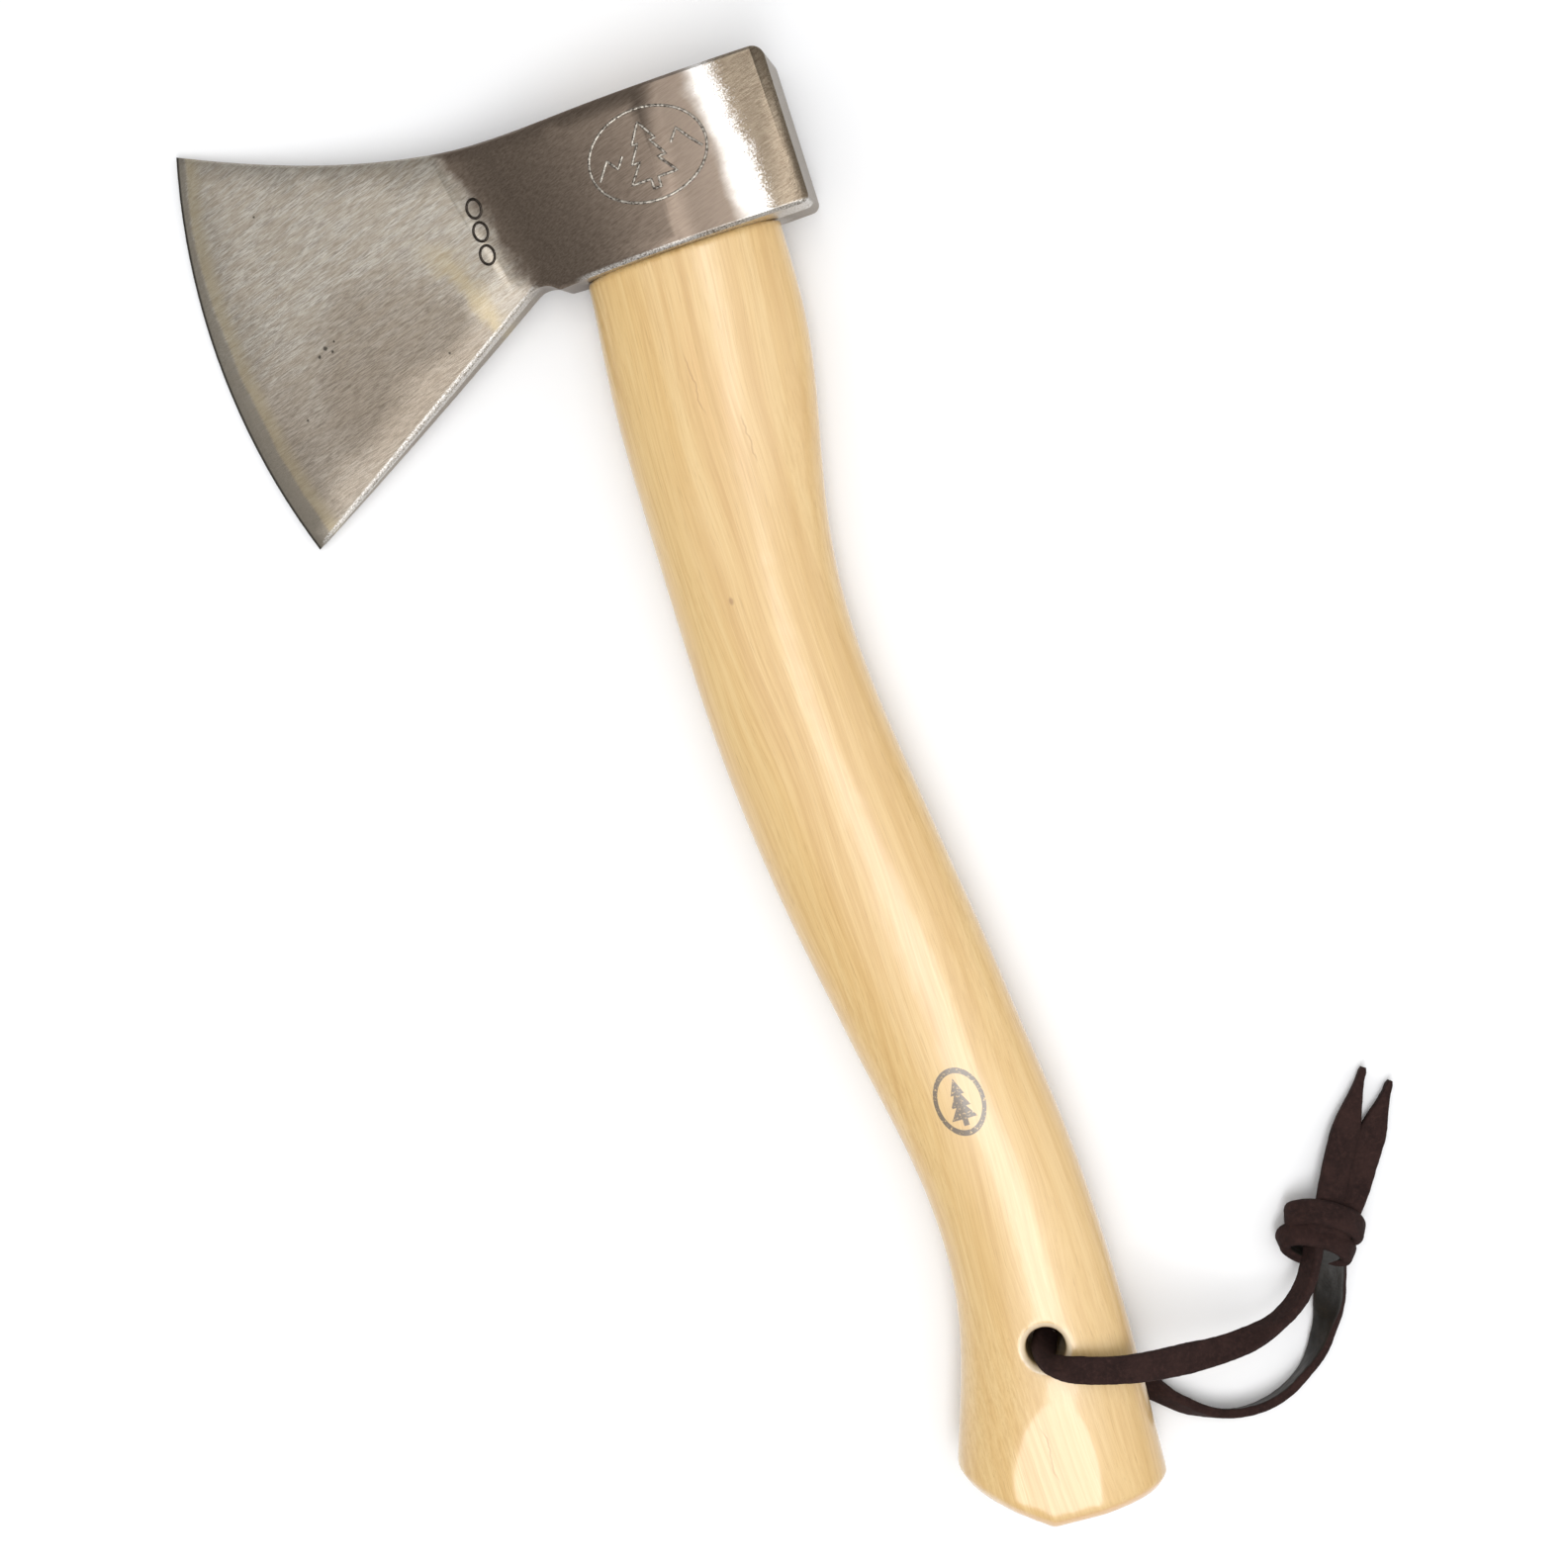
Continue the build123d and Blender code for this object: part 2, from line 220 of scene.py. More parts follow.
# Each stretch has the points of its route. Along the route, as shares of its length, come the ways its
# suede side faces and how wide it is.
thongMiddle = (0.0449, -0.1469, 0.0172)
stretches = {
    "frontLeg": {
        "route": [
            thongMiddle, (0.0428, -0.1480, 0.0236), (0.0420, -0.1487, 0.0296), (0.0447, -0.1510, 0.0342),
            (0.0506, -0.1532, 0.0352), (0.0586, -0.1561, 0.0342), (0.0675, -0.1590, 0.0302), (0.0775, -0.1619, 0.0248),
            (0.0880, -0.1643, 0.0194), (0.0980, -0.1645, 0.0146), (0.1066, -0.1616, 0.0110), (0.1122, -0.1560, 0.0090),
            (0.1156, -0.1496, 0.0074),
        ],
        "facing": [
            (0.0, (0.89, 0.45, 0.0)), (0.10, (0.80, 0.60, 0.15)), (0.17, (0.30, 0.80, 0.60)),
            (0.24, (0.0, 0.35, 0.93)), (0.46, (0.0, 0.12, 1.0)), (0.62, (-0.05, 0.42, 0.90)),
            (0.80, (-0.45, 0.85, 0.30)), (1.0, (-0.75, 0.55, 0.35)),
        ],
        "taper": [(0.0, 1.0), (0.30, 1.05), (0.48, 1.18), (0.66, 1.04), (1.0, 1.0)],
        "exit": (0.0432, -0.1469, 0.0295), "length": 0.100, "farEnd": "knot", "cad": "thong_front_leg",
    },
    "backLeg": {
        "route": [
            thongMiddle, (0.0458, -0.1469, 0.0108), (0.0466, -0.1473, 0.0056), (0.0489, -0.1496, 0.0028),
            (0.0534, -0.1540, 0.0024), (0.0592, -0.1630, 0.0026), (0.0658, -0.1744, 0.0030), (0.0742, -0.1830, 0.0033),
            (0.0850, -0.1878, 0.0036), (0.0966, -0.1868, 0.0036), (0.1066, -0.1806, 0.0036), (0.1131, -0.1712, 0.0043),
            (0.1170, -0.1612, 0.0054), (0.1197, -0.1522, 0.0060),
        ],
        "facing": [
            (0.0, (-0.80, 0.60, 0.0)), (0.10, (-0.80, 0.60, 0.10)), (0.20, (-0.1, 0.1, 1.0)),
            (0.34, (0.0, -0.25, 0.97)), (0.42, (-0.20, -0.75, 0.62)), (0.52, (0.0, -0.95, 0.32)),
            (0.70, (0.60, -0.80, 0.10)), (0.82, (0.75, -0.45, -0.50)), (0.91, (0.35, -0.10, -0.93)),
            (1.0, (0.15, 0.0, -1.0)),
        ],
        "taper": [(0.0, 1.0), (0.74, 1.0), (0.90, 1.28), (1.0, 1.2)],
        "exit": (0.0466, -0.1469, 0.0042), "length": 0.123, "farEnd": "knot", "cad": "thong_back_leg",
    },
    "longTail": {
        "route": [
            (0.1180, -0.1490, 0.0066), (0.1230, -0.1400, 0.0063), (0.1284, -0.1310, 0.0046), (0.1344, -0.1221, 0.0029),
            (0.1411, -0.1118, 0.0021),
        ],
        "facing": [(0.0, (0.2, -0.1, 1.0)), (0.5, (0.12, -0.10, 1.0)), (1.0, (0.0, 0.0, 1.0))],
        "taper": [(0.0, 1.0), (0.35, 1.2), (0.58, 1.2), (0.97, 0.30), (1.0, 0.16)],
        "exit": (0.1180, -0.1490, 0.0066), "length": 0.0437, "farEnd": "bare", "cad": "thong_tail_long",
    },
    "shortTail": {
        "route": [
            (0.1222, -0.1500, 0.0058), (0.1286, -0.1418, 0.0050), (0.1345, -0.1335, 0.0037), (0.1406, -0.1254, 0.0025),
            (0.1466, -0.1172, 0.0020),
        ],
        "facing": [(0.0, (-0.15, 0.1, 1.0)), (0.5, (-0.10, 0.05, 1.0)), (1.0, (0.0, 0.0, 1.0))],
        "taper": [(0.0, 1.0), (0.35, 1.2), (0.62, 1.15), (0.97, 0.30), (1.0, 0.16)],
        "exit": (0.1222, -0.1500, 0.0058), "length": 0.0407, "farEnd": "bare", "cad": "thong_tail_short",
    },
}


def between(keys, share):
    # Smooth value between (share, value) keys
    for (startShare, start), (endShare, end) in zip(keys, keys[1:]):
        if share <= endShare:
            t = (share - startShare) / (endShare - startShare)
            t = t * t * (3 - 2 * t)
            if isinstance(start, tuple):
                return Vector(start).lerp(Vector(end), t)
            return start + (end - start) * t
    return Vector(keys[-1][1]) if isinstance(keys[-1][1], tuple) else keys[-1][1]


def routePoints(name, route):
    # The smooth line of a route: a NURBS spline with the route's points as its control points
    data = bpy.data.curves.new(name, "CURVE")
    data.dimensions = "3D"
    data.resolution_u = 16
    spline = data.splines.new("NURBS")
    spline.points.add(len(route) - 1)
    for point, place in zip(spline.points, route):
        point.co = (*place, 1)
    spline.order_u = 3
    spline.use_endpoint_u = True
    holder = bpy.data.objects.new(name, data)
    bpy.context.scene.collection.objects.link(holder)
    bpy.context.view_layer.update()
    mesh = bpy.data.meshes.new_from_object(holder)
    points = [vertex.co.copy() for vertex in mesh.vertices]
    bpy.data.objects.remove(holder)
    bpy.data.meshes.remove(mesh)
    return points


def spineMesh(name, points, facings, tapers, closed=False):
    # A line of points that carries what the strip tree reads: which way it faces, its side and width
    count = len(points)
    edges = [(i, i + 1) for i in range(count - 1)] + ([(count - 1, 0)] if closed else [])
    mesh = bpy.data.meshes.new(name)
    mesh.from_pydata(points, edges, [])
    columns = {"facing": [], "sideways": [], "taper": list(tapers), "travel": []}
    travel = 0.0
    for i, point in enumerate(points):
        ahead = points[(i + 1) % count] if closed or i + 1 < count else point
        behind = points[i - 1] if closed or i else point
        tangent = (ahead - behind).normalized()
        facing = facings[i] - tangent * facings[i].dot(tangent)
        facing.normalize()
        travel += (point - points[i - 1]).length if i else 0.0
        columns["facing"].extend(facing)
        columns["sideways"].extend(tangent.cross(facing))
        columns["travel"].append(travel)
    for label, numbers in columns.items():
        isVector = label in ("facing", "sideways")
        attribute = mesh.attributes.new(label, "FLOAT_VECTOR" if isVector else "FLOAT", "POINT")
        attribute.data.foreach_set("vector" if isVector else "value", numbers)
    return mesh


def newGeometryTree(name, numbers):
    # An empty geometry tree that takes a mesh, some numbers and a material
    tree = bpy.data.node_groups.new(name, "GeometryNodeTree")
    face = tree.interface
    face.new_socket("Geometry", in_out="INPUT", socket_type="NodeSocketGeometry")
    for label in numbers:
        face.new_socket(label, in_out="INPUT", socket_type="NodeSocketFloat")
    face.new_socket("Material", in_out="INPUT", socket_type="NodeSocketMaterial")
    face.new_socket("Geometry", in_out="OUTPUT", socket_type="NodeSocketGeometry")
    return tree, tree.nodes.new("NodeGroupInput").outputs


def finishTree(tree, geometry, material):
    smooth = add(tree, "GeometryNodeSetShadeSmooth", {"Geometry": geometry}).outputs[0]
    real = add(tree, "GeometryNodeRealizeInstances", {"Geometry": smooth}).outputs[0]
    painted = add(tree, "GeometryNodeSetMaterial", {"Geometry": real, "Material": material}).outputs[0]
    tree.links.new(painted, tree.nodes.new("NodeGroupOutput").inputs[0])
    return tree


def sweep(tree, line, section):
    inputs = {"Curve": line, "Profile Curve": section, "Fill Caps": True}
    return add(tree, "GeometryNodeCurveToMesh", inputs).outputs[0]


def stripTree():
    # Sweeps a flat rounded section along a spine, with slightly ragged edges
    tree, given = newGeometryTree("leatherStrip", ("Width", "Thickness", "Corner", "Ragged", "Seed"))

    def named(label, kind="FLOAT"):
        node = add(tree, "GeometryNodeInputNamedAttribute", {"Name": label}, data_type=kind)
        return node.outputs["Attribute"]

    def store(geometry, label, value, kind="FLOAT"):
        node = add(tree, "GeometryNodeStoreNamedAttribute", {"Geometry": geometry, "Name": label}, data_type=kind)
        plug(tree, node.inputs["Value"], value)
        return node.outputs[0]

    place = tree.nodes.new("GeometryNodeInputPosition").outputs[0]
    spine = add(tree, "GeometryNodeMeshToCurve", {"Mesh": given["Geometry"]}).outputs[0]
    spine = store(spine, "centre", place, "FLOAT_VECTOR")
    sides = {"Width": given["Thickness"], "Height": given["Width"]}
    section = add(tree, "GeometryNodeCurvePrimitiveQuadrilateral", sides).outputs[0]
    corners = {"Curve": section, "Radius": given["Corner"], "Count": thong["cornerSteps"]}
    section = add(tree, "GeometryNodeFilletCurve", corners, mode="POLY").outputs[0]
    section = add(tree, "GeometryNodeResampleCurve", {"Curve": section, "Count": thong["sectionPoints"]}).outputs[0]
    flat = add(tree, "ShaderNodeSeparateXYZ", {0: place}).outputs
    section = store(store(section, "through", flat[0]), "across", flat[1])
    swept = sweep(tree, spine, section)
    # The sweep's own turning is replaced with the facing that the spine carries
    outward = vec(tree, "SCALE", named("facing", "FLOAT_VECTOR"), named("through"))
    reach = times(tree, named("across"), named("taper"))
    along = vec(tree, "SCALE", named("sideways", "FLOAT_VECTOR"), reach)
    exact = vec(tree, "ADD", vec(tree, "ADD", named("centre", "FLOAT_VECTOR"), outward), along)
    placed = add(tree, "GeometryNodeSetPosition", {"Geometry": swept, "Position": exact}).outputs[0]
    seeded = vec(tree, "ADD", place, add(tree, "ShaderNodeCombineXYZ", {0: given["Seed"]}).outputs[0])
    coarse = noiseOf(tree, seeded, thong["raggedScale"], 3.0, 0.6, out=1)
    centred = vec(tree, "SUBTRACT", coarse, (0.5, 0.5, 0.5))
    shift = vec(tree, "SCALE", centred, times(tree, given["Ragged"], 2.0))
    rough = add(tree, "GeometryNodeSetPosition", {"Geometry": placed, "Offset": shift}).outputs[0]
    return finishTree(tree, rough, given["Material"])


def evaluated(name, mesh, tree, values):
    # The plain mesh that a geometry tree makes of a mesh
    holder = bpy.data.objects.new(name + "Maker", mesh)
    bpy.context.scene.collection.objects.link(holder)
    modifier = holder.modifiers.new("maker", "NODES")
    modifier.node_group = tree
    for item in tree.interface.items_tree:
        if item.item_type == "SOCKET" and item.in_out == "INPUT" and item.name in values:
            modifier[item.identifier] = values[item.name]
    return frozen(holder, name)


def frozen(holder, name):
    # The object's mesh with its modifiers applied, as an object of its own
    bpy.context.view_layer.update()
    depsgraph = bpy.context.evaluated_depsgraph_get()
    made = bpy.data.meshes.new_from_object(holder.evaluated_get(depsgraph))
    bpy.data.objects.remove(holder)
    made.name = name
    piece = bpy.data.objects.new(name, made)
    bpy.context.scene.collection.objects.link(piece)
    return piece


def leatherMaterial():
    # Suede on one side of the strip, smooth grain on the other
    material, tree, shader = newMaterial("oiledLeather")
    place = add(tree, "ShaderNodeTexCoord").outputs["Object"]
    through = add(tree, "ShaderNodeAttribute", attribute_name="through").outputs["Fac"]
    half = thong["thick"] / 2
    grainSide = fade(tree, through, -half * 0.98, -half * 0.80, 1.0, 0.0)
    nap = noiseOf(tree, place, 900.0, 6.0, 0.7)
    mottle = noiseOf(tree, place, 160.0, 4.0, 0.6)
    pores = cellsOf(tree, place, 1500.0)
    suede = ramp(tree, nap, thong["suede"])
    suede = blend(tree, fade(tree, mottle, 0.35, 0.75, 0.0, 0.55), suede, thong["suedePatch"])
    grain = ramp(tree, mottle, thong["grain"])
    plug(tree, shader.inputs["Base Color"], blend(tree, grainSide, suede, grain))
    plug(tree, shader.inputs["Roughness"], timesPlus(tree, grainSide, -0.50, 0.90))
    height = calc(tree, "ADD", nap, times(tree, mottle, 1.5))
    napBump = bump(tree, height, timesPlus(tree, grainSide, -0.6, 0.75), 0.0002)
    poreBump = bump(tree, times(tree, pores, grainSide), 0.2, 0.0001, napBump)
    plug(tree, shader.inputs["Normal"], poreBump)
    plug(tree, shader.inputs["Specular IOR Level"], 0.22)
    return material


leather = leatherMaterial()
strip = stripTree()


def makeStrip(name, points, facings, tapers, seed, closed=False, **changes):
    # One strip of leather; the changes replace the thong's own sizes
    size = {**thong, **changes}
    return evaluated(name, spineMesh(name + "Spine", points, facings, tapers, closed), strip, {
        "Width": size["width"], "Thickness": size["thick"], "Corner": size["corner"], "Ragged": size["ragged"],
        "Seed": float(seed), "Material": leather,
    })


for number, (name, parts) in enumerate(stretches.items()):
    points = routePoints(name + "Route", parts["route"])
    travelled = [0.0]
    for before, after in zip(points, points[1:]):
        travelled.append(travelled[-1] + (after - before).length)
    shares = [far / travelled[-1] for far in travelled]
    facings = [between(parts["facing"], share) for share in shares]
    tapers = [between(parts["taper"], share) for share in shares]
    parts["piece"] = makeStrip(name, points, facings, tapers, number)
    parts["path"] = points
print("thong strips made")

# The knot: two wraps of the same strip round the legs, on a packed core. Each one lies along the knot's axis
# and aside from it, has a radius across and up, leans by its tilt in degrees, and flares at its edge.
knot = {
    "middle": (0.1186, -0.1478, 0.0062), "axis": (0.53, 0.85, 0.0), "steps": 72, "lump": 0.00030, "ragged": 0.0002,
    "wraps": [
        {
            "along": 0.0024, "aside": 0.0000, "radiusAcross": 0.0088, "radiusUp": 0.0044, "tilt": 42, "flare": 0.10,
            "width": 0.0066, "thick": 0.0032, "corner": 0.00155,
        },
        {
            "along": -0.0041, "aside": -0.0007, "radiusAcross": 0.0085, "radiusUp": 0.0044, "tilt": 50, "flare": 0.34,
            "width": 0.0060, "thick": 0.0030, "corner": 0.00135,
        },
    ],
    "core": {
        "along": 0.0014, "aside": 0.0, "radiusAcross": 0.0058, "radiusUp": 0.0018, "tilt": 0, "flare": 0.0,
        "width": 0.0086, "thick": 0.0036, "corner": 0.0012,
    },
}


def makeWrap(name, wrap, seed):
    # A closed, slightly lumpy turn of the strip
    sky = Vector((0, 0, 1))
    axis = Vector(knot["axis"]).normalized()
    across = axis.cross(sky).normalized()
    tilt = math.radians(wrap["tilt"])
    away = axis * math.cos(tilt) - sky * math.sin(tilt)
    rise = across.cross(away).normalized()
    centre = Vector(knot["middle"]) + axis * wrap["along"] + across * wrap["aside"]
    random.seed(seed)
    lumps = [(random.uniform(0.2, 0.5), random.uniform(0, math.tau), k) for k in (2, 3, 5)]
    points, facings = [], []
    for step in range(knot["steps"]):
        angle = math.tau * step / knot["steps"]
        lump = sum(size * math.sin(k * angle + phase) for size, phase, k in lumps) * knot["lump"]
        sideways, upwards = across * math.cos(angle), rise * math.sin(angle)
        ring = sideways * wrap["radiusAcross"] + upwards * wrap["radiusUp"]
        slope = (sideways / wrap["radiusAcross"] + upwards / wrap["radiusUp"]).normalized()
        points.append(centre + ring + (sideways + upwards) * lump)
        facings.append((slope - away * wrap["flare"]).normalized())
    sizes = {part: wrap[part] for part in ("width", "thick", "corner")}
    tapers = [1.0] * knot["steps"]
    return makeStrip(name, points, facings, tapers, seed, closed=True, ragged=knot["ragged"], **sizes)


def joined(name, pieces):
    with bpy.context.temp_override(active_object=pieces[0], selected_editable_objects=pieces):
        bpy.ops.object.join()
    pieces[0].name = name
    pieces[0].data.name = name
    return pieces[0]


wraps = [makeWrap(f"knotWrap{i}", wrap, seed=11 + i) for i, wrap in enumerate(knot["wraps"])]
core = makeWrap("knotCore", knot["core"], seed=17)
thongKnot = joined("thongKnot", [*wraps, core])

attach(thongKnot, "root")
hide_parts("thong_knot")
for parts in stretches.values():
    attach(parts["piece"], "root")
    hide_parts(parts["cad"])
print("thong declared")


def brushGroup():
    # Long fine scratches along one direction, in millimetres, and wider patches of them
    group, given, output = newGroup("brushMarks", [
        ("Place", "Vector", None), ("Turn", "Float", 0.0), ("Length", "Float", 5.0), ("Fineness", "Float", 4.0),
    ], [("Mark", "Float"), ("Patch", "Float")])
    given = given.outputs
    turning = {"Vector": given["Place"], "Angle": given["Turn"]}
    turned = add(group, "ShaderNodeVectorRotate", turning, rotation_type="Z_AXIS").outputs[0]
    x, y, z = add(group, "ShaderNodeSeparateXYZ", {0: turned}).outputs[:3]
    stretched = add(group, "ShaderNodeCombineXYZ", {
        0: calc(group, "DIVIDE", x, given["Length"]), 1: times(group, y, given["Fineness"]),
        2: times(group, z, given["Fineness"]),
    }).outputs[0]
    plug(group, output.inputs["Mark"], noiseOf(group, stretched, 1.0, 6.0, 0.72))
    plug(group, output.inputs["Patch"], noiseOf(group, stretch(group, stretched, (0.5, 0.18, 0.18)), 1.0, 3.0, 0.5))
    return group


def coniferGroup():
    # A generic round mark: a ring with a conifer in it, one unit in radius
    inputs = [("Place", "Vector", None), ("Line", "Float", 0.06)]
    group, given, output = newGroup("coniferMark", inputs, [("Fill", "Float")])
    place, line = given.outputs["Place"], given.outputs["Line"]
    u, v = add(group, "ShaderNodeSeparateXYZ", {0: place}).outputs[:2]
    side = calc(group, "ABSOLUTE", u)

    def part(top, bottom, limit):
        return most(group, [minus(group, side, limit), minus(group, bottom, v), minus(group, v, top)])

    # Three tiers that widen downwards, then the trunk
    tree = None
    for top, bottom, halfWidth in ((0.68, 0.22, 0.26), (0.40, -0.14, 0.38), (0.06, -0.50, 0.50)):
        down = calc(group, "DIVIDE", minus(group, top, v), top - bottom)
        tier = part(top, bottom, times(group, down, halfWidth))
        tree = tier if tree is None else calc(group, "MINIMUM", tree, tier)
    tree = calc(group, "MINIMUM", tree, part(-0.4, -0.70, 0.10))
    ring = calc(group, "ABSOLUTE", minus(group, vec(group, "LENGTH", place, out=1), 0.92))
    filled = calc(group, "MINIMUM", tree, minus(group, ring, line))
    plug(group, output.inputs["Fill"], fade(group, filled, 0.0, 0.02, 1.0, 0.0))
    return group


brushMarks = brushGroup()
coniferMark = coniferGroup()

# Head. Places are in millimetres along the tool's axes.
head = {
    "brushTurn": math.radians(-15), "creaseX": -41.0, "creaseLean": -0.330,
    "edgeMiddle": (47.7, -4.0, 0.0), "edgeRadius": 165.0, "patchMiddle": (-73.0, -22.0, 0.0),
    "beard": ((-37.2, -17.3), (-108.1, -58.3)), "undersideY": -18.8,
    "bladeDark": (0.265, 0.235, 0.200, 1), "bladePale": (0.56, 0.53, 0.475, 1), "bladeWarm": (0.34, 0.285, 0.215, 1),
    "heelDark": (0.20, 0.165, 0.130, 1), "heelPale": (0.36, 0.31, 0.255, 1),
    "patchDark": (0.165, 0.132, 0.100, 1), "patchPale": (0.32, 0.268, 0.212, 1), "straw": (0.46, 0.375, 0.215, 1),
    "bevel": (0.27, 0.245, 0.205, 1), "bevelLine": (0.44, 0.37, 0.235, 1), "edge": (0.05, 0.045, 0.04, 1),
    # The cheek's dark colour is partly a painted dark reflection
    "cheekSteelAndDarkReflection": (0.112, 0.085, 0.066, 1), "cheekPale": (0.215, 0.172, 0.138, 1),
    "pollDark": (0.135, 0.104, 0.074, 1), "pollPale": (0.315, 0.262, 0.198, 1),
    # Next line: painted highlight colours for the cheek's polished strip and for the chamfer line, then the pits' own
    # dark
    "polishAndHighlightBand": (0.62, 0.60, 0.58, 1), "chamferHighlight": (0.74, 0.72, 0.69, 1), "pit": (0.04, 0.035, 0.03, 1),
    # Each pit's place and size
    "pits": [
        (-89.9, -13.1, 0.55), (-91.9, -14.6, 0.4), (-88.4, -14.4, 0.3), (-87.2, -12.2, 0.25), (-96.5, 22.0, 0.3),
        (-60.5, -24.0, 0.3), (-100.0, -28.0, 0.35),
    ],
}


def steelMaterial():
    material, tree, shader = newMaterial("forgedSteel")
    place = toolSpace(tree)
    flat = fromAbove(tree, place)
    x, y, z = add(tree, "ShaderNodeSeparateXYZ", {0: place}).outputs[:3]
    brush = useGroup(tree, brushMarks, Place=place, Turn=head["brushTurn"], Length=4.0, Fineness=3.3).outputs
    streaks, patches = brush["Mark"], brush["Patch"]
    mottle = noiseOf(tree, place, 0.10, 4.0, 0.6)
    speckle = noiseOf(tree, place, 2.6, 2.0, 0.6)
    # The crease between blade and cheek leans back towards the underside
    creaseX = timesPlus(tree, y, head["creaseLean"], head["creaseX"])
    wander = times(tree, minus(tree, noiseOf(tree, place, 0.16, 4.0, 0.65), 0.5), 9.0)
    fromCrease = calc(tree, "ADD", minus(tree, x, creaseX), wander)
    blade = fade(tree, fromCrease, -3.5, 2.0, 1.0, 0.0)
    # Blade: brushed, warmer and darker towards the heel
    grain = fade(tree, streaks, 0.33, 0.67)
    bladeTone = blend(tree, grain, head["bladeDark"], head["bladePale"])
    bladeTone = blend(tree, fade(tree, patches, 0.35, 0.65, 0.0, 0.45), bladeTone, head["bladeWarm"])
    heel = times(tree, fade(tree, timesPlus(tree, mottle, 22.0, y), 14.0, -22.0), 0.75)
    bladeTone = blend(tree, heel, bladeTone, blend(tree, grain, head["heelDark"], head["heelPale"]))
    # A dark patch in the middle of it, with a straw tint beside the crease
    fromPatch = distance(tree, flat, head["patchMiddle"])
    fromPatch = timesPlus(tree, minus(tree, mottle, 0.5), 12.0, fromPatch)
    patchTone = blend(tree, grain, head["patchDark"], head["patchPale"])
    bladeTone = blend(tree, fade(tree, fromPatch, 16.0, 27.0, 0.50, 0.0), bladeTone, patchTone)
    tint = times(tree, fade(tree, fromPatch, 22.0, 25.0), fade(tree, fromPatch, 25.5, 31.0, 1.0, 0.0))
    tint = times(tree, tint, fade(tree, x, -64.0, -52.0))
    bladeTone = blend(tree, times(tree, tint, 0.45), bladeTone, head["straw"])
    # Ground bevel, its straw-coloured inner line and the dark sharp edge
    fromEdge = minus(tree, head["edgeRadius"], distance(tree, flat, head["edgeMiddle"]))
    bevelWide = calc(tree, "ADD", times(tree, fade(tree, y, 30.0, -30.0), 2.6), timesPlus(tree, mottle, 1.4, 1.6))
    inward = minus(tree, fromEdge, bevelWide)
    bladeTone = blend(tree, fade(tree, inward, -0.8, 0.5, 0.75, 0.0), bladeTone, head["bevel"])
    straw = times(tree, fade(tree, inward, -0.4, 0.6), fade(tree, inward, 1.0, 5.0, 1.0, 0.0))
    bladeTone = blend(tree, times(tree, straw, 0.5), bladeTone, head["bevelLine"])
    bladeTone = blend(tree, fade(tree, fromEdge, 0.35, 0.9, 0.9, 0.0), bladeTone, head["edge"])
    # Cheek: dark and smooth, its dark tone partly a painted dark reflection that lightens towards the poll, then a
    # polished strip with a painted highlight that breaks up into speckle before the poll
    cheekTone = blend(tree, fade(tree, streaks, 0.25, 0.75), head["cheekSteelAndDarkReflection"], head["cheekPale"])
    # Painted reflection: the cheek lightens towards the poll
    cheekReflectionLift = fade(tree, timesPlus(tree, mottle, 14.0, x), 6.0, 26.0, 0.0, 0.55)
    cheekTone = blend(tree, cheekReflectionLift, cheekTone, head["cheekPale"])
    leaning = timesPlus(tree, y, 0.12, timesPlus(tree, mottle, 7.0, x))
    crumble = times(tree, minus(tree, speckle, 0.5), 9.0)
    bandEnd = fade(tree, calc(tree, "ADD", leaning, crumble), 24.0, 28.0, 1.0, 0.0)
    # The strip of cheek where a highlight is painted, which is also made less rough
    polishAndHighlightBand = times(tree, fade(tree, leaning, 17.0, 24.0), bandEnd)
    pollGrain = times(tree, grain, fade(tree, mottle, 0.3, 0.7, 0.5, 1.0))
    pollTone = blend(tree, pollGrain, head["pollDark"], head["pollPale"])
    bodyTone = blend(tree, fade(tree, leaning, 17.0, 25.0), cheekTone, pollTone)
    bodyTone = blend(tree, polishAndHighlightBand, bodyTone, head["polishAndHighlightBand"])
    colour = blend(tree, blade, bodyTone, bladeTone)
    # Painted highlight along the chamfer where the cheek meets the underside, and the blade meets the beard
    (startX, startY), (endX, endY) = head["beard"]
    runX, runY = endX - startX, endY - startY
    run = math.hypot(runX, runY)
    offset = timesPlus(tree, x, runY / run, (startY * runX - startX * runY) / run)
    fromBeard = calc(tree, "ABSOLUTE", timesPlus(tree, y, -runX / run, offset))
    beardLine = times(tree, fade(tree, fromBeard, 0.35, 0.95, 1.0, 0.0), blade)
    lipLine = fade(tree, minus(tree, y, head["undersideY"]), 0.5, 1.2, 1.0, 0.0)
    lipLine = times(tree, lipLine, fade(tree, x, -26.0, -20.0))
    chamferHighlight = times(tree, most(tree, [beardLine, lipLine]), fade(tree, speckle, 0.30, 0.62))
    chamferHighlight = times(tree, chamferHighlight, fade(tree, z, 0.5, 1.0))
    colour = blend(tree, chamferHighlight, colour, head["chamferHighlight"])
